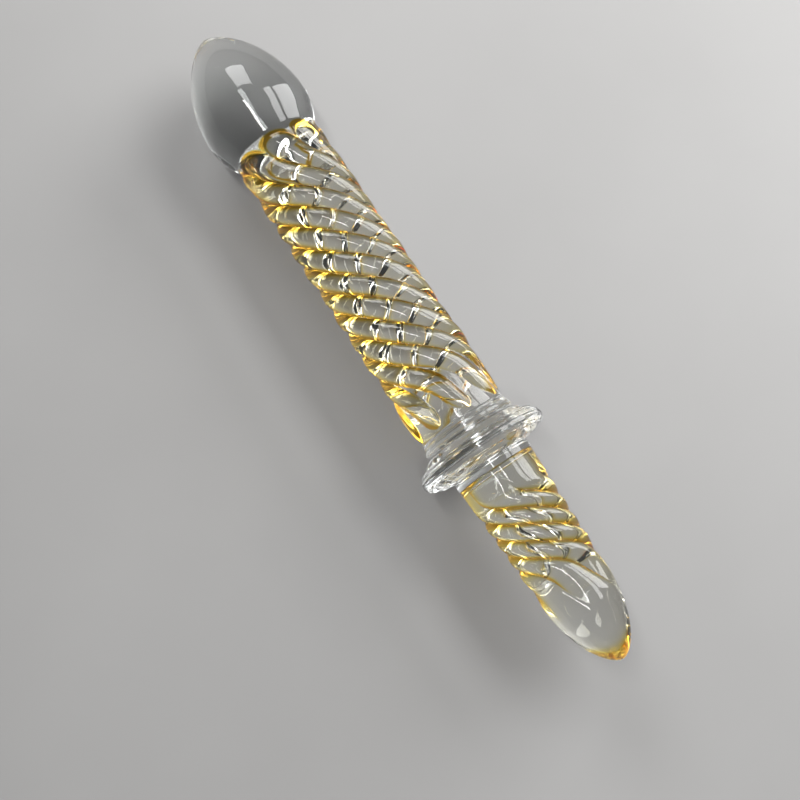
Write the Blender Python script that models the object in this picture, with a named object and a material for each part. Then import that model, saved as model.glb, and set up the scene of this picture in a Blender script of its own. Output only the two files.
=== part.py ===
"""A solid glass wand at rest on a table: an ogive head, a shaft wrapped in twisted ribs,
a round guard, a shorter ribbed grip and a tapered tip.

The pieces are strung along one axis. Each is modelled with its own start at the origin
and its length along +X, then hung on the empty "axis", which leans so that the head and
the guard's rim both touch the ground at z = 0.
"""

from math import atan2, cos, hypot, pi, radians, sin

import bmesh
import bpy
from mathutils import Vector

MM = 0.001

# Space kept between neighbouring pieces
JOINT_GAP = 0.3 * MM

# Head
HEAD_LENGTH = 41.0 * MM
HEAD_RADIUS = 16.45 * MM
HEAD_NOSE_LENGTH = 30.5 * MM
HEAD_BASE_INSET = 0.5 * MM
HEAD_NOSE_POWER = 0.757
HEAD_BACK_POWER = 1.25

# Shaft
SHAFT_LENGTH = 96.6 * MM
SHAFT_CORE_RADIUS = 10.9 * MM
SHAFT_RIB_EDGE = 1.4 * MM
SHAFT_RIB_RISE = 1.2 * MM
SHAFT_START_LEAD = 170.0 * MM
SHAFT_START_LENGTH = 21.0 * MM
SHAFT_LEAD = 62.0 * MM
SHAFT_LEAF_LEAD = 190.0 * MM
SHAFT_LEAF_LENGTH = 20.0 * MM
SHAFT_LEAF_BEND = 14.0 * MM
SHAFT_FINGER_LENGTH = 4.0 * MM
SHAFT_RIBS = 8
SHAFT_LEAF_TIP_ANGLE = radians(10)

# Neck with its step ring
NECK_LENGTH = 1.5 * MM
NECK_RADIUS = 13.0 * MM
STEP_LENGTH = 1.7 * MM
STEP_HEIGHT = 0.6 * MM
STEP_ROUNDING = 0.25 * MM

# Guard
GUARD_LENGTH = 9.5 * MM
GUARD_RADIUS = 19.1 * MM
GUARD_RIM_RADIUS = 2.4 * MM
GUARD_SEAT_DEPTH = 1.2 * MM
GUARD_SEAT_WIDTH = 3.4 * MM
GUARD_SOCKET_DEPTH = 0.6 * MM

# Grip, whose collar starts in the guard's socket
COLLAR_LENGTH = 3.0 * MM
COLLAR_RADIUS = 11.6 * MM
GRIP_LENGTH = 34.1 * MM
GRIP_CORE_RADIUS = 8.95 * MM
GRIP_TAPER = 1.1 * MM
GRIP_RIB_EDGE = 1.2 * MM
GRIP_RIB_RISE = 1.0 * MM
GRIP_LEAD = 31.0 * MM
GRIP_STRAIGHT_LEAD = 400.0 * MM
GRIP_STRAIGHT_LENGTH = 9.0 * MM
GRIP_LEAF_LEAD = 110.0 * MM
GRIP_LEAF_LENGTH = 9.0 * MM
GRIP_RIBS = 6
GRIP_RIB_START_ANGLE = radians(23.5)

# Tip
TIP_LENGTH = 24.4 * MM
TIP_FULLNESS = 2.1
TIP_POWER = 0.6

# A rib's width where it meets the head, and its width and thickness at its lower end, as
# shares of the full rib
RIB_FINGER_WIDTH = 0.55
SHAFT_LEAF_WIDTH = 0.14
SHAFT_LEAF_THICKNESS = 0.35
GRIP_LEAF_WIDTH = 0.7
GRIP_LEAF_THICKNESS = 0.8

# Facets
TURNED_SEGMENTS = 36
GUARD_SEGMENTS = 48
RIB_CREST = (-1.0, -2 / 3, -1 / 3, 0.0, 1 / 3, 2 / 3, 1.0)
RIB_BASE = (1.0, 0.6, 0.2, -0.2, -0.6, -1.0)
SMOOTH_ANGLE = radians(35)

CLEAR_GLASS = (0.93, 0.96, 0.95, 1.0)
AMBER_GLASS = (0.93, 0.66, 0.16, 1.0)
GLASS_ROUGHNESS = 0.02
GLASS_IOR = 1.47


def clear_scene():
    for obj in list(bpy.data.objects):
        bpy.data.objects.remove(obj)


def glass(name, colour):
    material = bpy.data.materials.new(name)
    material.use_nodes = True
    shader = material.node_tree.nodes["Principled BSDF"]
    shader.inputs["Base Color"].default_value = colour
    shader.inputs["Metallic"].default_value = 0.0
    shader.inputs["Roughness"].default_value = GLASS_ROUGHNESS
    shader.inputs["Transmission Weight"].default_value = 1.0
    shader.inputs["IOR"].default_value = GLASS_IOR
    return material


def add_piece(name, mesh_builder, start, axis, material):
    """Turns a bmesh into a named, smooth-shaded object that starts at this distance along the axis."""
    bmesh.ops.recalc_face_normals(mesh_builder, faces=mesh_builder.faces)
    mesh = bpy.data.meshes.new(name)
    mesh_builder.to_mesh(mesh)
    mesh_builder.free()
    mesh.shade_smooth()
    mesh.set_sharp_from_angle(angle=SMOOTH_ANGLE)
    mesh.materials.append(material)
    piece = bpy.data.objects.new(name, mesh)
    piece.location = (start, 0.0, 0.0)
    piece.parent = axis
    bpy.context.scene.collection.objects.link(piece)
    return piece


def turned(outline, segments):
    """Spins an outline of (distance, radius) points round the axis, with a flat facet underneath."""
    builder = bmesh.new()
    spin_start = -pi / 2 + pi / segments
    verts = [
        builder.verts.new((along, radius * cos(spin_start), radius * sin(spin_start)))
        for along, radius in outline
    ]
    edges = [builder.edges.new(pair) for pair in zip(verts, verts[1:])]
    bmesh.ops.spin(
        builder,
        geom=verts + edges,
        cent=(0.0, 0.0, 0.0),
        axis=(1.0, 0.0, 0.0),
        angle=2 * pi,
        steps=segments,
        use_merge=True,
        use_duplicate=False,
    )
    bmesh.ops.remove_doubles(builder, verts=builder.verts, dist=JOINT_GAP / 100)
    return builder


def lofted(rings):
    """Joins a row of rings with the same number of points, and closes both ends."""
    builder = bmesh.new()
    loops = [[builder.verts.new(point) for point in ring] for ring in rings]
    for ring, following in zip(loops, loops[1:]):
        for i in range(len(ring)):
            j = (i + 1) % len(ring)
            builder.faces.new((ring[i], ring[j], following[j], following[i]))
    builder.faces.new(loops[0])
    builder.faces.new(reversed(loops[-1]))
    return builder


def spread(low, high, steps):
    """Evenly spaced values from low up to but not including high."""
    return [low + (high - low) * i / steps for i in range(steps)]


def ease(value):
    """0 below 0, 1 above 1, and a smooth rise between."""
    value = min(max(value, 0.0), 1.0)
    return value * value * (3 - 2 * value)


# Radii that follow from the sizes above


def shaft_core_radius(along):
    """The shaft's core is even, and swells under the leaves to nearly the neck's radius."""
    swell = ease((along - (SHAFT_LENGTH - SHAFT_LEAF_LENGTH)) / (0.6 * SHAFT_LEAF_LENGTH))
    return SHAFT_CORE_RADIUS + swell * (NECK_RADIUS - STEP_HEIGHT - SHAFT_CORE_RADIUS)


def grip_core_radius(along):
    return GRIP_CORE_RADIUS - GRIP_TAPER * along / GRIP_LENGTH


def shaft_outer_radius():
    return SHAFT_CORE_RADIUS + JOINT_GAP + SHAFT_RIB_EDGE + SHAFT_RIB_RISE


def tip_base_radius():
    return grip_core_radius(GRIP_LENGTH) + JOINT_GAP + GRIP_RIB_EDGE + GRIP_RIB_RISE


# How each set of ribs twists and tapers


def shaft_turn_rate(along):
    """Radians per metre: a gentle start at the head, the full twist, then nearly straight leaves."""
    full = ease(along / SHAFT_START_LENGTH)
    straight = ease((along - (SHAFT_LENGTH - SHAFT_LEAF_LENGTH)) / SHAFT_LEAF_BEND)
    turns = (1 - full) / SHAFT_START_LEAD + full / SHAFT_LEAD
    return 2 * pi * ((1 - straight) * turns + straight / SHAFT_LEAF_LEAD)


def grip_turn_rate(along):
    """Radians per metre: nearly straight below the collar, twisted, then unwinding."""
    twist = ease((along - 0.7 * GRIP_STRAIGHT_LENGTH) / (0.6 * GRIP_STRAIGHT_LENGTH))
    unwind = ease((along - (GRIP_LENGTH - GRIP_LEAF_LENGTH)) / GRIP_LEAF_LENGTH)
    rate = (1 - twist) / GRIP_STRAIGHT_LEAD + twist / GRIP_LEAD
    return 2 * pi * ((1 - unwind) * rate + unwind / GRIP_LEAF_LEAD)


def total_turn(stations, turn_rate):
    """How far a rib turns from its first cross-section to its last."""
    steps = zip(stations, stations[1:])
    return sum((after - before) * turn_rate((before + after) / 2) for before, after in steps)


def leaf_share(along, length, leaf_length):
    """0 before the leaf, 1 at its point."""
    return min(max((along - (length - leaf_length)) / leaf_length, 0.0), 1.0)


def leaf_width(share, end_width):
    """A leaf's width as a share of the full rib: full at its root, rounded at its point."""
    return end_width + (1 - end_width) * (1 - share**2) ** 0.7


def shaft_rib_width(along):
    finger = min(along / SHAFT_FINGER_LENGTH, 1.0)
    rounding = RIB_FINGER_WIDTH + (1 - RIB_FINGER_WIDTH) * (1 - (1 - finger) ** 2) ** 0.5
    leaf = leaf_share(along, SHAFT_LENGTH, SHAFT_LEAF_LENGTH)
    return rounding * leaf_width(leaf, SHAFT_LEAF_WIDTH)


def grip_rib_width(along):
    return leaf_width(leaf_share(along, GRIP_LENGTH, GRIP_LEAF_LENGTH), GRIP_LEAF_WIDTH)


def shaft_rib_thickness(along):
    thinning = ease(leaf_share(along, SHAFT_LENGTH, SHAFT_LEAF_LENGTH))
    return 1 - (1 - SHAFT_LEAF_THICKNESS) * thinning


def grip_rib_thickness(along):
    thinning = ease(leaf_share(along, GRIP_LENGTH, GRIP_LEAF_LENGTH))
    return 1 - (1 - GRIP_LEAF_THICKNESS) * thinning


def rib_rings(stations, count, first_angle, core_radius, turn_rate, width, thickness, edge, rise):
    """The cross-sections of one rib, each square to the axis: a crowned top over a curved base
    that stays JOINT_GAP above the core, facets included. Angles run from +Z towards +Y."""
    rings = []
    angle = first_angle
    previous = stations[0]
    for along in stations:
        step = along - previous
        step_turn = step * turn_rate(previous + step / 2)
        angle += step_turn
        previous = along
        clear_radius = core_radius(along) + JOINT_GAP
        square_gap = JOINT_GAP * hypot(1.0, turn_rate(along) * clear_radius)
        half = pi / count * width(along) - square_gap / clear_radius / 2
        base_step = 2 * half / (len(RIB_BASE) - 1)
        base = clear_radius / cos(base_step / 2) / cos(max(step_turn, 0.0) / 2)
        side = edge * thickness(along)
        crown = rise * thickness(along)
        points = [(angle + half * v, base + side + crown * (1 - v * v)) for v in RIB_CREST]
        points += [(angle + half * v, base) for v in RIB_BASE]
        rings.append([(along, radius * sin(turn), radius * cos(turn)) for turn, radius in points])
    return rings


def shaft_stations():
    """Where the shaft's cross-sections stand: closer together where the ribs round off."""
    leaf_start = SHAFT_LENGTH - SHAFT_LEAF_LENGTH
    last_third = SHAFT_LENGTH - SHAFT_LEAF_LENGTH / 3
    places = spread(0.0, SHAFT_FINGER_LENGTH, 3)
    places += spread(SHAFT_FINGER_LENGTH, leaf_start, 24)
    places += spread(leaf_start, last_third, 5)
    places += spread(last_third, SHAFT_LENGTH, 4)
    return places + [SHAFT_LENGTH]


def grip_stations():
    leaf_start = GRIP_LENGTH - GRIP_LEAF_LENGTH
    places = spread(0.0, GRIP_STRAIGHT_LENGTH, 3)
    places += spread(GRIP_STRAIGHT_LENGTH, leaf_start, 12)
    places += spread(leaf_start, GRIP_LENGTH, 5)
    return places + [GRIP_LENGTH]


def head_outline():
    """A long rounded nose up to the widest ring, then a shorter fall to the shaft."""
    base_radius = shaft_outer_radius() - HEAD_BASE_INSET
    outline = []
    for i in range(13):
        fraction = (i / 12) ** 1.6
        swell = (1 - (1 - fraction) ** 2) ** HEAD_NOSE_POWER
        outline.append((HEAD_NOSE_LENGTH * fraction, HEAD_RADIUS * swell))
    back = HEAD_LENGTH - HEAD_NOSE_LENGTH
    for i in range(1, 6):
        fraction = i / 5
        fall = (1 - fraction**2) ** HEAD_BACK_POWER
        radius = base_radius + (HEAD_RADIUS - base_radius) * fall
        outline.append((HEAD_NOSE_LENGTH + back * fraction, radius))
    return outline + [(HEAD_LENGTH, 0.0)]


def core_outline(stations, core_radius):
    outline = [(along, core_radius(along)) for along in stations]
    return [(0.0, 0.0)] + outline + [(stations[-1], 0.0)]


def neck_outline():
    step_radius = NECK_RADIUS + STEP_HEIGHT
    end = NECK_LENGTH + STEP_LENGTH
    return [
        (0.0, 0.0),
        (0.0, NECK_RADIUS),
        (NECK_LENGTH, NECK_RADIUS),
        (NECK_LENGTH, step_radius - STEP_ROUNDING),
        (NECK_LENGTH + STEP_ROUNDING, step_radius),
        (end - STEP_ROUNDING, step_radius),
        (end, step_radius - STEP_ROUNDING),
        (end, 0.0),
    ]


def guard_outline():
    """An S-shaped flare, a rounded rim bead, and a flat seat that faces the tip, round the
    collar's socket."""
    base_radius = NECK_RADIUS + STEP_HEIGHT / 2
    bead_along = GUARD_LENGTH - GUARD_SEAT_DEPTH - GUARD_RIM_RADIUS
    bead_radius = GUARD_RADIUS - GUARD_RIM_RADIUS
    bead_start = radians(135)
    flare_end = bead_along + GUARD_RIM_RADIUS * cos(bead_start)
    flare_rise = bead_radius + GUARD_RIM_RADIUS * sin(bead_start) - base_radius
    outline = [(0.0, 0.0)]
    for i in range(6):
        share = i / 6
        outline.append((flare_end * share, base_radius + flare_rise * (1 - cos(pi * share)) / 2))
    for i in range(7):
        turn = bead_start * (1 - i / 6)
        along = bead_along + GUARD_RIM_RADIUS * cos(turn)
        outline.append((along, bead_radius + GUARD_RIM_RADIUS * sin(turn)))
    socket_radius = COLLAR_RADIUS + JOINT_GAP
    socket_floor = GUARD_LENGTH - GUARD_SOCKET_DEPTH
    outline.append((GUARD_LENGTH, COLLAR_RADIUS + GUARD_SEAT_WIDTH))
    outline.append((GUARD_LENGTH, socket_radius))
    outline.append((socket_floor, socket_radius))
    return outline + [(socket_floor, 0.0)]


def collar_outline():
    return [
        (0.0, 0.0),
        (0.0, COLLAR_RADIUS),
        (COLLAR_LENGTH - STEP_ROUNDING, COLLAR_RADIUS),
        (COLLAR_LENGTH, COLLAR_RADIUS - STEP_ROUNDING),
        (COLLAR_LENGTH, 0.0),
    ]


def tip_outline():
    outline = [(0.0, 0.0)]
    for i in range(12):
        fraction = 1 - (1 - i / 12) ** 1.3
        taper = (1 - fraction**TIP_FULLNESS) ** TIP_POWER
        outline.append((TIP_LENGTH * fraction, tip_base_radius() * taper))
    return outline + [(TIP_LENGTH, 0.0)]


def add_ribs(prefix, start, axis, material, stations, count, first_angle, **shape):
    for i in range(count):
        rings = rib_rings(stations, count, first_angle + 2 * pi * i / count, **shape)
        add_piece(f"{prefix}_{i + 1}", lofted(rings), start, axis, material)


def add_shaft(start, axis, clear, amber):
    stations = shaft_stations()
    core = turned(core_outline(stations, shaft_core_radius), TURNED_SEGMENTS)
    add_piece("shaft_core", core, start, axis, clear)
    add_ribs(
        "shaft_rib",
        start,
        axis,
        amber,
        stations,
        SHAFT_RIBS,
        SHAFT_LEAF_TIP_ANGLE - total_turn(stations, shaft_turn_rate),
        core_radius=shaft_core_radius,
        turn_rate=shaft_turn_rate,
        width=shaft_rib_width,
        thickness=shaft_rib_thickness,
        edge=SHAFT_RIB_EDGE,
        rise=SHAFT_RIB_RISE,
    )


def add_grip(start, axis, clear, amber):
    stations = grip_stations()
    core = turned(core_outline(stations, grip_core_radius), TURNED_SEGMENTS)
    add_piece("grip_core", core, start, axis, clear)
    add_ribs(
        "grip_rib",
        start,
        axis,
        amber,
        stations,
        GRIP_RIBS,
        GRIP_RIB_START_ANGLE,
        core_radius=grip_core_radius,
        turn_rate=grip_turn_rate,
        width=grip_rib_width,
        thickness=grip_rib_thickness,
        edge=GRIP_RIB_EDGE,
        rise=GRIP_RIB_RISE,
    )


def lay_down(axis, guard_start):
    """Leans the axis so that the head's widest ring and the guard's rim both touch z = 0, and
    centres the whole over the origin."""
    bead_along = guard_start + GUARD_LENGTH - GUARD_SEAT_DEPTH - GUARD_RIM_RADIUS
    head_height = HEAD_RADIUS * cos(pi / TURNED_SEGMENTS)
    guard_height = GUARD_RADIUS * cos(pi / GUARD_SEGMENTS)
    lean = atan2(guard_height - head_height, bead_along - HEAD_NOSE_LENGTH)
    axis.rotation_euler = (0.0, -lean, 0.0)
    bpy.context.view_layer.update()
    points = [
        piece.matrix_world @ vertex.co for piece in axis.children for vertex in piece.data.vertices
    ]
    lowest = Vector(min(point[i] for point in points) for i in range(3))
    highest = Vector(max(point[i] for point in points) for i in range(3))
    middle = (lowest + highest) / 2
    axis.location = (-middle.x, -middle.y, -lowest.z)
    bpy.context.view_layer.update()


def build():
    clear_scene()
    clear = glass("clear_glass", CLEAR_GLASS)
    amber = glass("amber_glass", AMBER_GLASS)
    axis = bpy.data.objects.new("axis", None)
    bpy.context.scene.collection.objects.link(axis)

    shaft_start = HEAD_LENGTH + JOINT_GAP
    neck_start = shaft_start + SHAFT_LENGTH + JOINT_GAP
    guard_start = neck_start + NECK_LENGTH + STEP_LENGTH + JOINT_GAP
    collar_start = guard_start + GUARD_LENGTH - GUARD_SOCKET_DEPTH + JOINT_GAP
    grip_start = collar_start + COLLAR_LENGTH + JOINT_GAP
    tip_start = grip_start + GRIP_LENGTH + JOINT_GAP

    add_piece("head", turned(head_outline(), TURNED_SEGMENTS), 0.0, axis, clear)
    add_shaft(shaft_start, axis, clear, amber)
    add_piece("neck_collar", turned(neck_outline(), TURNED_SEGMENTS), neck_start, axis, clear)
    add_piece("guard_flange", turned(guard_outline(), GUARD_SEGMENTS), guard_start, axis, clear)
    add_piece("grip_collar", turned(collar_outline(), TURNED_SEGMENTS), collar_start, axis, clear)
    add_grip(grip_start, axis, clear, amber)
    add_piece("grip_tip", turned(tip_outline(), TURNED_SEGMENTS), tip_start, axis, amber)
    lay_down(axis, guard_start)


build()
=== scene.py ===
"""The looks of a solid glass wand: clear fused glass with amber ribs, on a pale floor in soft light.

The real wand is one fused body. Its skin is worked out here as one field of radii round the
axis, row by row from the head to the tip, then cut into five closed pieces: head, shaft,
guard, grip and tip. The cuts are fused joints, so light passes them unbent.
"""

from math import pi, radians

import bpy
import numpy as np
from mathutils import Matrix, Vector


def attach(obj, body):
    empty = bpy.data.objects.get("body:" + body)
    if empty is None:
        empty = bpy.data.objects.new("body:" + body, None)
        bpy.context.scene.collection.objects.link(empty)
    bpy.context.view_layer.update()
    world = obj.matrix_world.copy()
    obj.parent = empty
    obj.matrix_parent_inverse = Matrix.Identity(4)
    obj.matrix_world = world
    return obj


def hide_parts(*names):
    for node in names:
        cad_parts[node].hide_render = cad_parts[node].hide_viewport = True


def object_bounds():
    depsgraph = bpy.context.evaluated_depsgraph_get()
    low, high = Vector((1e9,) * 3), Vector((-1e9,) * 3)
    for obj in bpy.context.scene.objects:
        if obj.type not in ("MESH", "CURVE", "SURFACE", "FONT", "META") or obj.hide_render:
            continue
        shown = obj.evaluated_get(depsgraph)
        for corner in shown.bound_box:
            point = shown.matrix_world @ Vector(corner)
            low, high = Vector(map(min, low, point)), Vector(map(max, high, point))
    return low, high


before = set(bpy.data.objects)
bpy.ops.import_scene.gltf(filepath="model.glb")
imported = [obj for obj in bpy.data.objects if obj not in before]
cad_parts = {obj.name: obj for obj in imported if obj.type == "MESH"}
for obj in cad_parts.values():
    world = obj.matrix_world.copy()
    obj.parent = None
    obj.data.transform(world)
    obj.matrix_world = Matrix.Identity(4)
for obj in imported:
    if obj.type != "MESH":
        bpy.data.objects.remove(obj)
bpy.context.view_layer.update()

MM = 0.001

# The mesh: columns run along the ribs, so that every rib has the same number of them
SHAFT_RIBS = 8
GRIP_RIBS = 6
COLUMNS = 264

# Head
NOSE_SHARE = 0.744
NOSE_POWER = 0.757
BACK_POWER = 1.25

# A rib is a rounded bump across. Its line and height waver a little, as in hand-made glass
RIB_ROUNDING = 0.85
WAVER_TURN = 0.035
WAVER_HEIGHT = 0.12
WAVER_LENGTH = 4.6 * MM

# Shaft
SHAFT_CREST = 13.9 * MM
SHAFT_RIB_HEIGHT = 2.1 * MM
SHAFT_START_LEAD = 170.0 * MM
SHAFT_START_LENGTH = 21.0 * MM
SHAFT_LEAD = 62.0 * MM
SHAFT_LEAF_LEAD = 190.0 * MM
SHAFT_LEAF_LENGTH = 20.0 * MM
SHAFT_FINGER_START = 2.6 * MM
SHAFT_FINGER_LENGTH = 5.0 * MM
LEAF_TIP_ANGLE = radians(10)
LEAF_RIB_HEIGHT = 1.45 * MM
LEAF_DIP = 0.5 * MM
LEAF_BEND_LENGTH = 14.0 * MM
LEAF_SLIMMING = 0.4

# Guard
GUARD_BEAD_RADIUS = 2.4 * MM
GUARD_SEAT_DEPTH = 1.2 * MM
COLLAR_BLEND = 0.25 * MM

# Grip
GRIP_RIB_HEIGHT = 1.75 * MM
GRIP_LEAD = 31.0 * MM
GRIP_STRAIGHT_LEAD = 400.0 * MM
GRIP_STRAIGHT_LENGTH = 8.0 * MM
GRIP_LEAF_LEAD = 110.0 * MM
GRIP_LEAF_LENGTH = 9.0 * MM
GRIP_START_ANGLE = radians(23.5)

# How amber the skin is. The arches where the shaft's ribs start hold far more than the rest
SHAFT_AMBER = 0.26
SHAFT_EDGE_AMBER = 0.74
LEAF_EDGE_AMBER = 1.6
ARCH_AMBER = 5.0
ARCH_PLACE = 1.1
ARCH_WIDTH = 0.25
GRIP_AMBER = 0.06
GRIP_RIB_AMBER = 0.2
GRIP_EDGE_AMBER = 0.74
GRIP_BAND_AMBER = 2.2
GRIP_BAND_LENGTH = 1.2 * MM
TIP_AMBER = 0.9
TIP_AMBER_LENGTH = 9.0 * MM

# The skin looks deeper at a slant, where light crosses more of it
HEAD_ON_DEPTH = 0.15
SLANT_DEPTH = 5.0
SLANT_POWER = 1.4

# How much of a lamp's light one glass surface passes on into the shadow
CLEAR_SHADOW = (0.30, 0.30, 0.30)
AMBER_SHADOW = (0.22, 0.19, 0.13)

# Camera and light
CAMERA_LENS = 45.0
CAMERA_PLACE = (0.0611, -0.0397, 0.2882)
CAMERA_TURN = (11.0, 0.0, 56.89)
FLOOR_SIDE = 3.0

# Soft lamps, each aimed at the origin: name, place, size and power in watts
LAMPS = [
    ("key_softbox", (0.00, 0.55, 0.65), (0.80, 0.20), 4.0),
    ("window_softbox", (-0.05, 0.75, 0.28), (0.60, 0.50), 8.0),
    ("strip_softbox", (0.00, -0.14, 0.90), (0.80, 0.06), 3.8),
    ("fill_softbox", (-0.60, 0.10, 0.45), (0.30, 0.30), 2.0),
]


def ease(value):
    """0 below 0, 1 above 1, and a smooth rise between."""
    value = np.clip(value, 0.0, 1.0)
    return value * value * (3 - 2 * value)


def node_points(name):
    return np.array([vertex.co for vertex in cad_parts[name].data.vertices])


def measure_axis():
    """The wand's axis, through the middles of the head and the tip, as a start and a direction."""
    head_middle = np.unique(node_points("head").round(6), axis=0).mean(axis=0)
    tip_middle = np.unique(node_points("grip_tip").round(6), axis=0).mean(axis=0)
    direction = (tip_middle - head_middle) / np.linalg.norm(tip_middle - head_middle)
    first = ((node_points("head") - head_middle) @ direction).min()
    return head_middle + first * direction, direction


AXIS_START, AXIS_DIRECTION = measure_axis()


def span(*names):
    """Where these CAD nodes start and end along the axis, from the head's apex."""
    along = [(node_points(name) - AXIS_START) @ AXIS_DIRECTION for name in names]
    return min(a.min() for a in along), max(a.max() for a in along)


def girth(name):
    """The largest radius of a CAD node round the axis."""
    offset = node_points(name) - AXIS_START
    along = offset @ AXIS_DIRECTION
    return np.linalg.norm(offset - along[:, None] * AXIS_DIRECTION, axis=1).max()


def joint(before, after):
    """The middle of the gap between two neighbouring CAD nodes."""
    return (span(before)[1] + span(after)[0]) / 2


HEAD_END = joint("head", "shaft_core")
SHAFT_END = joint("shaft_core", "neck_collar")
GUARD_END = joint("grip_collar", "grip_core")
GRIP_END = joint("grip_core", "grip_tip")
TIP_END = span("grip_tip")[1]

HEAD_RADIUS = girth("head")
NECK_STEP_RADIUS = girth("neck_collar")
NECK_START_RADIUS = NECK_STEP_RADIUS - 0.8 * MM
GUARD_RADIUS = girth("guard_flange")
COLLAR_RADIUS = girth("grip_collar")
TIP_RADIUS = girth("grip_tip")


# The twist: how far the columns have turned at each place along the axis


def turn_rate(along):
    """Radians per metre."""
    shaft_leaf = SHAFT_END - SHAFT_LEAF_LENGTH
    lead = 1 / SHAFT_START_LEAD + (1 / SHAFT_LEAD - 1 / SHAFT_START_LEAD) * ease(
        (along - HEAD_END) / SHAFT_START_LENGTH
    )
    straight = ease((along - shaft_leaf) / LEAF_BEND_LENGTH)
    shaft = (1 - straight) * lead + straight / SHAFT_LEAF_LEAD
    twist = ease((along - GUARD_END - 0.7 * GRIP_STRAIGHT_LENGTH) / (0.6 * GRIP_STRAIGHT_LENGTH))
    unwind = ease((along - (GRIP_END - GRIP_LEAF_LENGTH)) / GRIP_LEAF_LENGTH)
    grip = (1 - twist) / GRIP_STRAIGHT_LEAD + twist / GRIP_LEAD
    grip = (1 - unwind) * grip + unwind / GRIP_LEAF_LEAD
    on_shaft = (along > HEAD_END) & (along < SHAFT_END)
    on_grip = along > GUARD_END
    return 2 * pi * np.where(on_shaft, shaft, np.where(on_grip, grip, 0.0))


def turns_along(rows):
    """The columns' turn at each row: one leaf ends at LEAF_TIP_ANGLE, one grip rib starts at
    GRIP_START_ANGLE."""
    fine = np.linspace(0.0, TIP_END, 8001)
    turned = np.concatenate([[0.0], np.cumsum(turn_rate((fine[1:] + fine[:-1]) / 2) * np.diff(fine))])
    on_shaft = turned + LEAF_TIP_ANGLE - np.interp(SHAFT_END, fine, turned)
    on_grip = turned + GRIP_START_ANGLE - np.interp(GUARD_END, fine, turned)
    return np.interp(rows, fine, on_shaft if rows[0] < SHAFT_END else on_grip)


def column_angles(ribs):
    """Columns crowd towards each rib's edges, where it is steepest."""
    step = (np.arange(COLUMNS // ribs) / (COLUMNS // ribs) * 2 - 1) * pi / 2
    crests = np.arange(ribs) * 2 * pi / ribs
    return (crests[:, None] + np.sin(step)[None, :] * pi / ribs).ravel()


def waver(along, column_angle):
    """-1 to 1: how the hand strays, slowly round and along the wand."""
    quick = np.sin(along / WAVER_LENGTH + 3 * column_angle)
    slow = np.cos(along / (2.3 * WAVER_LENGTH) - 2 * column_angle)
    return quick * slow


def across_rib(column_angle, ribs):
    """-1 to 1 across each rib, 0 on its crest."""
    share = column_angle * ribs / (2 * pi)
    return 2 * (share - np.round(share))


# Radii of the plain turned form


def head_radius(along):
    widest = NOSE_SHARE * HEAD_END
    nose = 1 - (1 - np.clip(along / widest, 0, 1)) ** 2
    nose_radius = HEAD_RADIUS * nose**NOSE_POWER
    back = np.clip((along - widest) / (HEAD_END - widest), 0, 1)
    base = SHAFT_CREST - 0.6 * MM
    back_radius = base + (HEAD_RADIUS - base) * (1 - back**2) ** BACK_POWER
    return np.where(along < widest, nose_radius, back_radius)


def guard_radius(along):
    """Neck, two rings, groove, flare, rim bead, seat and collar, in that order."""
    neck_end = span("neck_collar")[1]
    seat = span("guard_flange")[1]
    collar_start = seat + COLLAR_BLEND
    marks = [
        (SHAFT_END, NECK_START_RADIUS),
        (SHAFT_END + 0.4 * MM, NECK_START_RADIUS),
        (SHAFT_END + 0.7 * MM, NECK_START_RADIUS + 0.25 * MM),
        (SHAFT_END + 1.3 * MM, NECK_START_RADIUS + 0.35 * MM),
        (SHAFT_END + 1.7 * MM, NECK_START_RADIUS + 0.15 * MM),
        (SHAFT_END + 2.1 * MM, NECK_STEP_RADIUS - 0.1 * MM),
        (SHAFT_END + 2.5 * MM, NECK_STEP_RADIUS + 0.05 * MM),
        (neck_end - 0.1 * MM, NECK_STEP_RADIUS + 0.05 * MM),
        (neck_end + 0.15 * MM, NECK_STEP_RADIUS - 0.3 * MM),
        (neck_end + 0.4 * MM, NECK_STEP_RADIUS + 0.1 * MM),
    ]
    along_marks, radius_marks = np.array(marks).T
    ringed = np.interp(along, along_marks, radius_marks)
    bead_radius = GUARD_BEAD_RADIUS
    bead_along = seat - GUARD_SEAT_DEPTH - bead_radius
    bead_centre = GUARD_RADIUS - bead_radius
    flare_start = neck_end + 0.4 * MM
    flare_end = bead_along - 0.72 * bead_radius
    share = np.clip((along - flare_start) / (flare_end - flare_start), 0, 1)
    flare_top = bead_centre + 0.60 * bead_radius
    flare_base = NECK_STEP_RADIUS + 0.1 * MM
    flare = flare_base + (flare_top - flare_base) * (0.5 - 0.5 * np.cos(pi * share)) ** 0.9
    offset = np.clip((along - bead_along) / bead_radius, -1, 1)
    bead = bead_centre + bead_radius * np.sqrt(1 - offset**2)
    under = np.interp(
        along,
        [bead_along + bead_radius * 0.96, seat - 0.1 * MM, seat + 0.02 * MM, collar_start],
        [bead_centre, COLLAR_RADIUS + 2.8 * MM, COLLAR_RADIUS + 0.35 * MM, COLLAR_RADIUS],
    )
    body = np.where(along < flare_start, ringed, flare)
    body = np.where(along > flare_end, np.maximum(bead, np.where(along < bead_along, body, 0)), body)
    body = np.where(along > bead_along + bead_radius * 0.93, np.minimum(bead, under), body)
    return np.where(along <= collar_start, body, COLLAR_RADIUS)


def tip_radius(along):
    share = np.clip((along - GRIP_END) / (TIP_END - GRIP_END), 0, 1)
    return TIP_RADIUS * (1 - share**2.1) ** 0.6


def grip_crest(along):
    share = (along - GUARD_END) / (GRIP_END - GUARD_END)
    return COLLAR_RADIUS - 0.15 * MM + (TIP_RADIUS - COLLAR_RADIUS + 0.15 * MM) * share


# The skin: radius and how amber it is, at each row and column


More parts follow.
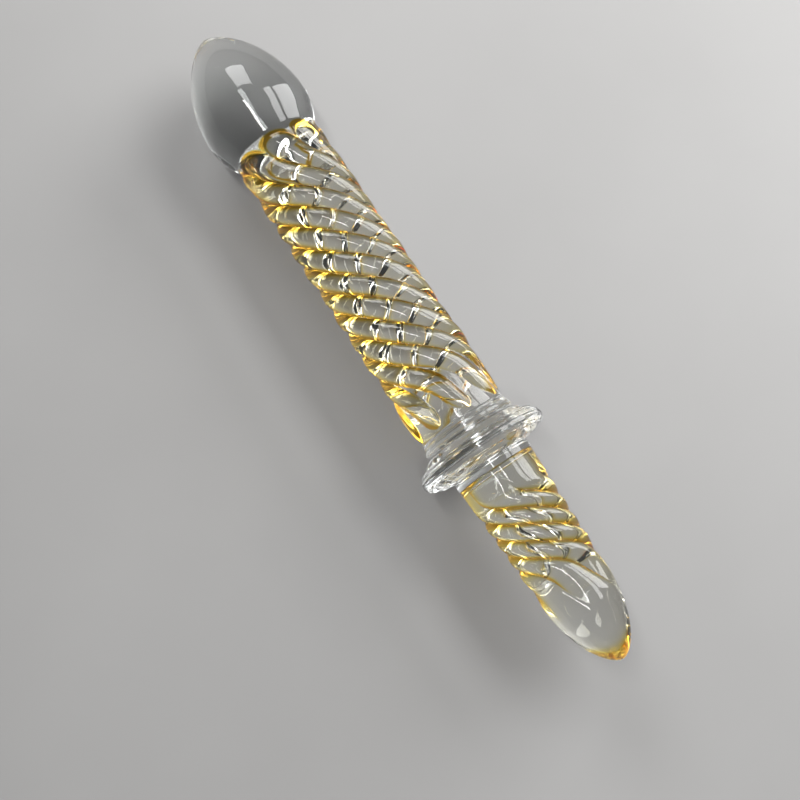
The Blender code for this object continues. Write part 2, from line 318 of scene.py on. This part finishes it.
def rounded(share, power):
    """1 on the crest, 0 at the rib's edge."""
    return (1 - np.clip(share, 0, 1) ** 2) ** power


def shaft_skin(along, columns):
    across = np.abs(across_rib(columns, SHAFT_RIBS))[None, :]
    along = along[:, None]
    from_head = (along - HEAD_END - SHAFT_FINGER_START) / SHAFT_FINGER_LENGTH
    leaf = np.clip((along - (SHAFT_END - SHAFT_LEAF_LENGTH)) / (SHAFT_LEAF_LENGTH - 0.3 * MM), 0, 1)
    slender = 1 - LEAF_SLIMMING * ease(leaf / 0.8)
    head_end = 1 - np.clip(from_head, -1, 1)
    leaf_end = np.clip((leaf - 0.72) / 0.27, 0, 2)
    share = np.sqrt((across / slender) ** 2 + head_end**2 + leaf_end**2)
    base = SHAFT_CREST - SHAFT_RIB_HEIGHT
    base = base + (NECK_START_RADIUS - LEAF_DIP - base) * ease(leaf / 0.6)
    base = base + LEAF_DIP * ease((leaf - 0.75) / 0.25)
    base = base + (head_radius(np.array([HEAD_END]))[0] - base) * (1 - ease(from_head / 1.2))
    height = SHAFT_RIB_HEIGHT + (LEAF_RIB_HEIGHT - SHAFT_RIB_HEIGHT) * ease(leaf / 0.6)
    height = height * (0.5 + 0.5 * ease(from_head / 1.4))
    height = height * (1 - WAVER_HEIGHT + WAVER_HEIGHT * waver(along, columns[None, :]))
    radius = base + height * rounded(share, RIB_ROUNDING)
    inside = np.clip((1.02 - share) / 0.04, 0, 1)
    outline = (SHAFT_EDGE_AMBER + LEAF_EDGE_AMBER * ease(leaf / 0.5)) * np.clip(share, 0, 1) ** 3
    amber = inside * (SHAFT_AMBER + outline)
    arch = np.clip(1 - np.abs(share - ARCH_PLACE) / ARCH_WIDTH, 0, 1) * (1 - ease(from_head / 1.5))
    return radius, np.maximum(amber, ARCH_AMBER * arch)


def grip_skin(along, columns):
    across = np.abs(across_rib(columns, GRIP_RIBS))[None, :]
    along = along[:, None]
    from_guard = (along - GUARD_END) / GRIP_STRAIGHT_LENGTH
    fade = 1 - ease((along - (GRIP_END - 4 * MM)) / (14 * MM))
    strength = (0.25 + 0.75 * ease((from_guard - 0.6) / 0.6)) * fade
    crest = np.where(along < GRIP_END, grip_crest(along), tip_radius(along))
    radius = crest - GRIP_RIB_HEIGHT * strength * (1 - rounded(across, RIB_ROUNDING))
    band = 1 - np.clip((along - GUARD_END) / GRIP_BAND_LENGTH, 0, 1)
    point = ease((along - TIP_END + TIP_AMBER_LENGTH) / TIP_AMBER_LENGTH)
    amber = (GRIP_AMBER + GRIP_RIB_AMBER * fade) + GRIP_EDGE_AMBER * strength * across**3
    return radius, amber + GRIP_BAND_AMBER * band + TIP_AMBER * point


def skin(along, columns):
    """(radius, amber) for every row and column."""
    plain = head_radius(along) * (along <= HEAD_END) + guard_radius(along) * (along > HEAD_END)
    radius = np.repeat(plain[:, None], len(columns), axis=1)
    amber = np.zeros_like(radius)
    shaft = (along > HEAD_END) & (along <= SHAFT_END)
    grip = along > GUARD_END
    radius[shaft], amber[shaft] = shaft_skin(along[shaft], columns)
    radius[grip], amber[grip] = grip_skin(along[grip], columns)
    return radius, amber


def rows_between(start, end, count, crowd_start=1.0, crowd_end=1.0):
    """Row places from start up to but not including end, closer together at a crowded end."""
    share = np.arange(count) / count
    share = share**crowd_start
    share = 1 - (1 - share) ** crowd_end
    return start + (end - start) * share


def build_rows():
    """Every row's place, and where each piece starts in that list."""
    stretches = [
        ("head", rows_between(0.0, HEAD_END, 80, crowd_start=1.9)),
        ("shaft", rows_between(HEAD_END, SHAFT_END, 230)),
        ("guard", rows_between(SHAFT_END, GUARD_END, 110)),
        ("grip", rows_between(GUARD_END, GRIP_END, 110)),
        ("tip", rows_between(GRIP_END, TIP_END, 80, crowd_end=1.9)),
    ]
    rows = np.concatenate([places for _, places in stretches] + [[TIP_END]])
    starts = np.cumsum([0] + [len(places) for _, places in stretches])
    return rows, {name: (starts[i], starts[i + 1]) for i, (name, _) in enumerate(stretches)}


ROWS, PIECE_ROWS = build_rows()


def skin_points(rows, ribs):
    """The skin as a grid of points in the frame, with its amber share."""
    angles = column_angles(ribs)
    radius, amber = skin(rows, angles)
    radius[(rows == 0) | (rows == TIP_END)] = 0.0
    side = np.cross([0.0, 1.0, 0.0], AXIS_DIRECTION)
    side = -side / np.linalg.norm(side)
    across = np.array([0.0, 1.0, 0.0])
    turn = turns_along(rows)[:, None] + angles[None, :]
    turn = turn + WAVER_TURN * waver(rows[:, None], angles[None, :])
    out = np.sin(turn)[..., None] * across + np.cos(turn)[..., None] * side
    middle = AXIS_START + rows[:, None] * AXIS_DIRECTION
    return middle[:, None, :] + radius[..., None] * out, amber


def is_pole(ring):
    return bool(np.allclose(ring, ring[0], atol=1e-9))


def skin_normals(points):
    """Each point's normal, from its neighbours in the grid. Pieces of one grid shade as one body."""
    around = np.roll(points, -1, axis=1) - np.roll(points, 1, axis=1)
    along = np.gradient(points, axis=0)
    normals = np.cross(along, around)
    length = np.linalg.norm(normals, axis=2, keepdims=True)
    normals = normals / np.maximum(length, 1e-12)
    if is_pole(points[0]):
        normals[0] = -AXIS_DIRECTION
    if is_pole(points[-1]):
        normals[-1] = AXIS_DIRECTION
    return normals


def piece_mesh(name, points, normals, amber, first, last):
    """One closed piece from the rows first to last. A cut end is closed by a disc in slot 1."""
    verts, vert_normals, vert_amber, rings = [], [], [], []
    for row in range(first, last + 1):
        columns = [0] if is_pole(points[row]) else range(COLUMNS)
        rings.append(list(range(len(verts), len(verts) + len(columns))))
        for column in columns:
            verts.append(points[row, column])
            vert_normals.append(normals[row, column])
            vert_amber.append(amber[row, column])
    faces, slots = [], []
    for ring, following in zip(rings, rings[1:]):
        for i in range(COLUMNS):
            j = (i + 1) % COLUMNS
            corners = [ring[j % len(ring)], ring[i % len(ring)]]
            corners += [following[i % len(following)], following[j % len(following)]]
            faces.append(list(dict.fromkeys(corners)))
            slots.append(0)
    for ring, row, backwards in ((rings[0], first, True), (rings[-1], last, False)):
        if len(ring) == 1:
            continue
        centre = len(verts)
        along = (points[row] - AXIS_START) @ AXIS_DIRECTION
        verts.append(AXIS_START + along.mean() * AXIS_DIRECTION)
        vert_normals.append(-AXIS_DIRECTION if backwards else AXIS_DIRECTION)
        vert_amber.append(0.0)
        for i in range(COLUMNS):
            pair = [ring[i], ring[(i + 1) % COLUMNS]]
            faces.append([centre] + (pair if backwards else pair[::-1]))
            slots.append(1)
    mesh = bpy.data.meshes.new(name)
    mesh.from_pydata([tuple(v) for v in verts], [], faces)
    mesh.polygons.foreach_set("material_index", slots)
    mesh.attributes.new("amber", "FLOAT", "POINT").data.foreach_set("value", vert_amber)
    mesh.shade_smooth()
    mesh.normals_split_custom_set_from_vertices([tuple(n) for n in vert_normals])
    mesh.update()
    return mesh


# Materials


def new_material(name):
    material = bpy.data.materials.new(name)
    material.use_nodes = True
    tree = material.node_tree
    tree.nodes.clear()
    return material, tree


def add_node(tree, kind, **inputs):
    node = tree.nodes.new(kind)
    for name, value in inputs.items():
        node.inputs[name.replace("_", " ")].default_value = value
    return node


def map_range(tree, low, high):
    """Takes 0 to 1 to low to high."""
    node = tree.nodes.new("ShaderNodeMapRange")
    node.inputs["To Min"].default_value = low
    node.inputs["To Max"].default_value = high
    return node


def math_node(tree, operation, *later):
    """A Math node, with the inputs after its first set where they are constant."""
    node = tree.nodes.new("ShaderNodeMath")
    node.operation = operation
    for place, value in enumerate(later, start=1):
        node.inputs[place].default_value = value
    return node


def glass_shader(tree, colour_socket):
    """Fire-polished glass: nearly smooth, with faint waves from working it hot."""
    place = tree.nodes.new("ShaderNodeTexCoord")
    smudge = add_node(tree, "ShaderNodeTexNoise", Scale=160.0, Detail=3.0)
    rough = map_range(tree, 0.0, 0.035)
    wave = add_node(tree, "ShaderNodeTexNoise", Scale=110.0, Detail=1.0)
    bump = add_node(tree, "ShaderNodeBump", Strength=0.25, Distance=0.0004)
    glass = add_node(tree, "ShaderNodeBsdfPrincipled", IOR=1.47)
    glass.inputs["Transmission Weight"].default_value = 1.0
    links = tree.links
    links.new(place.outputs["Object"], smudge.inputs["Vector"])
    links.new(place.outputs["Object"], wave.inputs["Vector"])
    links.new(smudge.outputs["Fac"], rough.inputs["Value"])
    links.new(rough.outputs["Result"], glass.inputs["Roughness"])
    links.new(wave.outputs["Fac"], bump.inputs["Height"])
    links.new(bump.outputs["Normal"], glass.inputs["Normal"])
    links.new(colour_socket, glass.inputs["Base Color"])
    return glass


def let_lamps_through(tree, glass, shadow_colour):
    """Lamps shine through the glass, dimmed and tinted by a set colour, so its shadow isn't black."""
    path = tree.nodes.new("ShaderNodeLightPath")
    clear = tree.nodes.new("ShaderNodeBsdfTransparent")
    mix = tree.nodes.new("ShaderNodeMixShader")
    out = tree.nodes.new("ShaderNodeOutputMaterial")
    links = tree.links
    clear.inputs["Color"].default_value = (*shadow_colour, 1.0)
    links.new(path.outputs["Is Shadow Ray"], mix.inputs["Fac"])
    links.new(glass.outputs["BSDF"], mix.inputs[1])
    links.new(clear.outputs["BSDF"], mix.inputs[2])
    links.new(mix.outputs["Shader"], out.inputs["Surface"])


def ramp(tree, stops):
    node = tree.nodes.new("ShaderNodeValToRGB")
    elements = node.color_ramp.elements
    while len(elements) < len(stops):
        elements.new(1.0)
    for element, (place, colour) in zip(elements, stops):
        element.position = place
        element.color = (*colour, 1.0)
    return node


def clear_glass():
    material, tree = new_material("clear_glass")
    place = tree.nodes.new("ShaderNodeTexCoord")
    cloud = add_node(tree, "ShaderNodeTexNoise", Scale=60.0, Detail=2.0)
    tint = ramp(tree, [(0.3, (0.93, 0.965, 0.95)), (0.7, (0.975, 0.985, 0.98))])
    tree.links.new(place.outputs["Object"], cloud.inputs["Vector"])
    tree.links.new(cloud.outputs["Fac"], tint.inputs["Fac"])
    glass = glass_shader(tree, tint.outputs["Color"])
    let_lamps_through(tree, glass, CLEAR_SHADOW)
    return material


def amber_glass():
    """Clear glass under an amber skin, thickest along each rib's edges and deeper at a slant."""
    material, tree = new_material("amber_glass")
    skin_share = tree.nodes.new("ShaderNodeAttribute")
    skin_share.attribute_name = "amber"
    place = tree.nodes.new("ShaderNodeTexCoord")
    cloud = add_node(tree, "ShaderNodeTexNoise", Scale=140.0, Detail=3.0)
    facing = add_node(tree, "ShaderNodeLayerWeight", Blend=0.45)
    slant = math_node(tree, "POWER", SLANT_POWER)
    patch = map_range(tree, 0.7, 1.25)
    depth = math_node(tree, "MULTIPLY_ADD", SLANT_DEPTH, HEAD_ON_DEPTH)
    uneven = math_node(tree, "MULTIPLY")
    amount = math_node(tree, "MULTIPLY")
    amount.use_clamp = True
    tint = ramp(
        tree,
        [
            (0.0, (0.965, 0.975, 0.95)),
            (0.25, (0.97, 0.94, 0.72)),
            (0.5, (1.0, 0.83, 0.24)),
            (0.75, (0.98, 0.60, 0.03)),
            (1.0, (0.82, 0.30, 0.005)),
        ],
    )
    links = tree.links
    links.new(place.outputs["Object"], cloud.inputs["Vector"])
    links.new(cloud.outputs["Fac"], patch.inputs["Value"])
    links.new(facing.outputs["Facing"], slant.inputs[0])
    links.new(slant.outputs["Value"], depth.inputs[0])
    links.new(patch.outputs["Result"], uneven.inputs[0])
    links.new(depth.outputs["Value"], uneven.inputs[1])
    links.new(uneven.outputs["Value"], amount.inputs[0])
    links.new(skin_share.outputs["Fac"], amount.inputs[1])
    links.new(amount.outputs["Value"], tint.inputs["Fac"])
    glass = glass_shader(tree, tint.outputs["Color"])
    let_lamps_through(tree, glass, AMBER_SHADOW)
    return material


def fused_joint():
    """A cut inside the glass, where nothing bends or dims the light."""
    material, tree = new_material("fused_joint")
    clear = tree.nodes.new("ShaderNodeBsdfTransparent")
    out = tree.nodes.new("ShaderNodeOutputMaterial")
    tree.links.new(clear.outputs["BSDF"], out.inputs["Surface"])
    return material


def floor_material():
    material, tree = new_material("pale_floor")
    place = tree.nodes.new("ShaderNodeTexCoord")
    mottle = add_node(tree, "ShaderNodeTexNoise", Scale=9.0, Detail=4.0)
    tint = ramp(tree, [(0.3, (0.33, 0.325, 0.32)), (0.7, (0.36, 0.355, 0.35))])
    matte = add_node(tree, "ShaderNodeBsdfPrincipled", Roughness=0.6)
    out = tree.nodes.new("ShaderNodeOutputMaterial")
    tree.links.new(place.outputs["Object"], mottle.inputs["Vector"])
    tree.links.new(mottle.outputs["Fac"], tint.inputs["Fac"])
    tree.links.new(tint.outputs["Color"], matte.inputs["Base Color"])
    tree.links.new(matte.outputs["BSDF"], out.inputs["Surface"])
    return material


# The scene


def add_object(name, data):
    obj = bpy.data.objects.new(name, data)
    bpy.context.scene.collection.objects.link(obj)
    return obj


REPLACED = {
    "head": ["head"],
    "shaft": ["shaft_core"] + [f"shaft_rib_{i + 1}" for i in range(SHAFT_RIBS)],
    "guard": ["neck_collar", "guard_flange", "grip_collar"],
    "grip": ["grip_core"] + [f"grip_rib_{i + 1}" for i in range(GRIP_RIBS)],
    "tip": ["grip_tip"],
}
SLOTS = {
    "head": "clear_glass",
    "shaft": "amber_glass",
    "guard": "clear_glass",
    "grip": "amber_glass",
    "tip": "amber_glass",
}


def build_glass():
    """One grid of skin down to the grip and another from there, because the rib counts differ."""
    cut = PIECE_ROWS["grip"][0]
    above_grip = skin_points(ROWS[: cut + 1], SHAFT_RIBS)
    grip_down = skin_points(ROWS[cut:], GRIP_RIBS)
    glasses = {"clear_glass": clear_glass(), "amber_glass": amber_glass()}
    fused = fused_joint()
    for name, (first, last) in PIECE_ROWS.items():
        points, amber = above_grip if first < cut else grip_down
        offset = 0 if first < cut else cut
        normals = skin_normals(points)
        mesh = piece_mesh(f"glass_{name}", points, normals, amber, first - offset, last - offset)
        mesh.materials.append(glasses[SLOTS[name]])
        mesh.materials.append(fused)
        piece = add_object(f"glass_{name}", mesh)
        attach(piece, "root")
        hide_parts(*REPLACED[name])


def build_floor():
    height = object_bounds()[0][2]
    mesh = bpy.data.meshes.new("floor")
    half = FLOOR_SIDE / 2
    corners = [(-half, -half), (half, -half), (half, half), (-half, half)]
    mesh.from_pydata([(x, y, height) for x, y in corners], [], [(0, 1, 2, 3)])
    mesh.materials.append(floor_material())
    add_object("floor", mesh)


def add_area_light(name, place, size, power):
    light = bpy.data.lights.new(name, "AREA")
    light.shape = "RECTANGLE"
    light.size, light.size_y = size
    light.energy = power
    lamp = add_object(name, light)
    lamp.location = place
    to_origin = Vector((0, 0, 0)) - Vector(place)
    lamp.rotation_euler = to_origin.to_track_quat("-Z", "Y").to_euler()


def build_lights():
    world = bpy.data.worlds.new("studio")
    world.use_nodes = True
    background = world.node_tree.nodes["Background"]
    background.inputs["Color"].default_value = (0.80, 0.84, 0.90, 1.0)
    background.inputs["Strength"].default_value = 0.05
    bpy.context.scene.world = world
    for name, place, size, power in LAMPS:
        add_area_light(name, place, size, power)


def build_camera():
    camera = bpy.data.cameras.new("camera")
    camera.lens = CAMERA_LENS
    camera.sensor_width = 36.0
    camera.clip_start = 0.01
    shown = add_object("camera", camera)
    shown.location = CAMERA_PLACE
    shown.rotation_euler = [radians(angle) for angle in CAMERA_TURN]
    bpy.context.scene.camera = shown


def set_light_paths():
    """Light crosses many rib surfaces before it leaves the glass."""
    bpy.context.scene.view_settings.view_transform = "Standard"
    cycles = bpy.context.scene.cycles
    cycles.max_bounces = 32
    cycles.glossy_bounces = 16
    cycles.transmission_bounces = 24
    cycles.transparent_max_bounces = 32
    cycles.caustics_reflective = False
    cycles.caustics_refractive = False


build_camera()
build_glass()
build_floor()
build_lights()
set_light_paths()
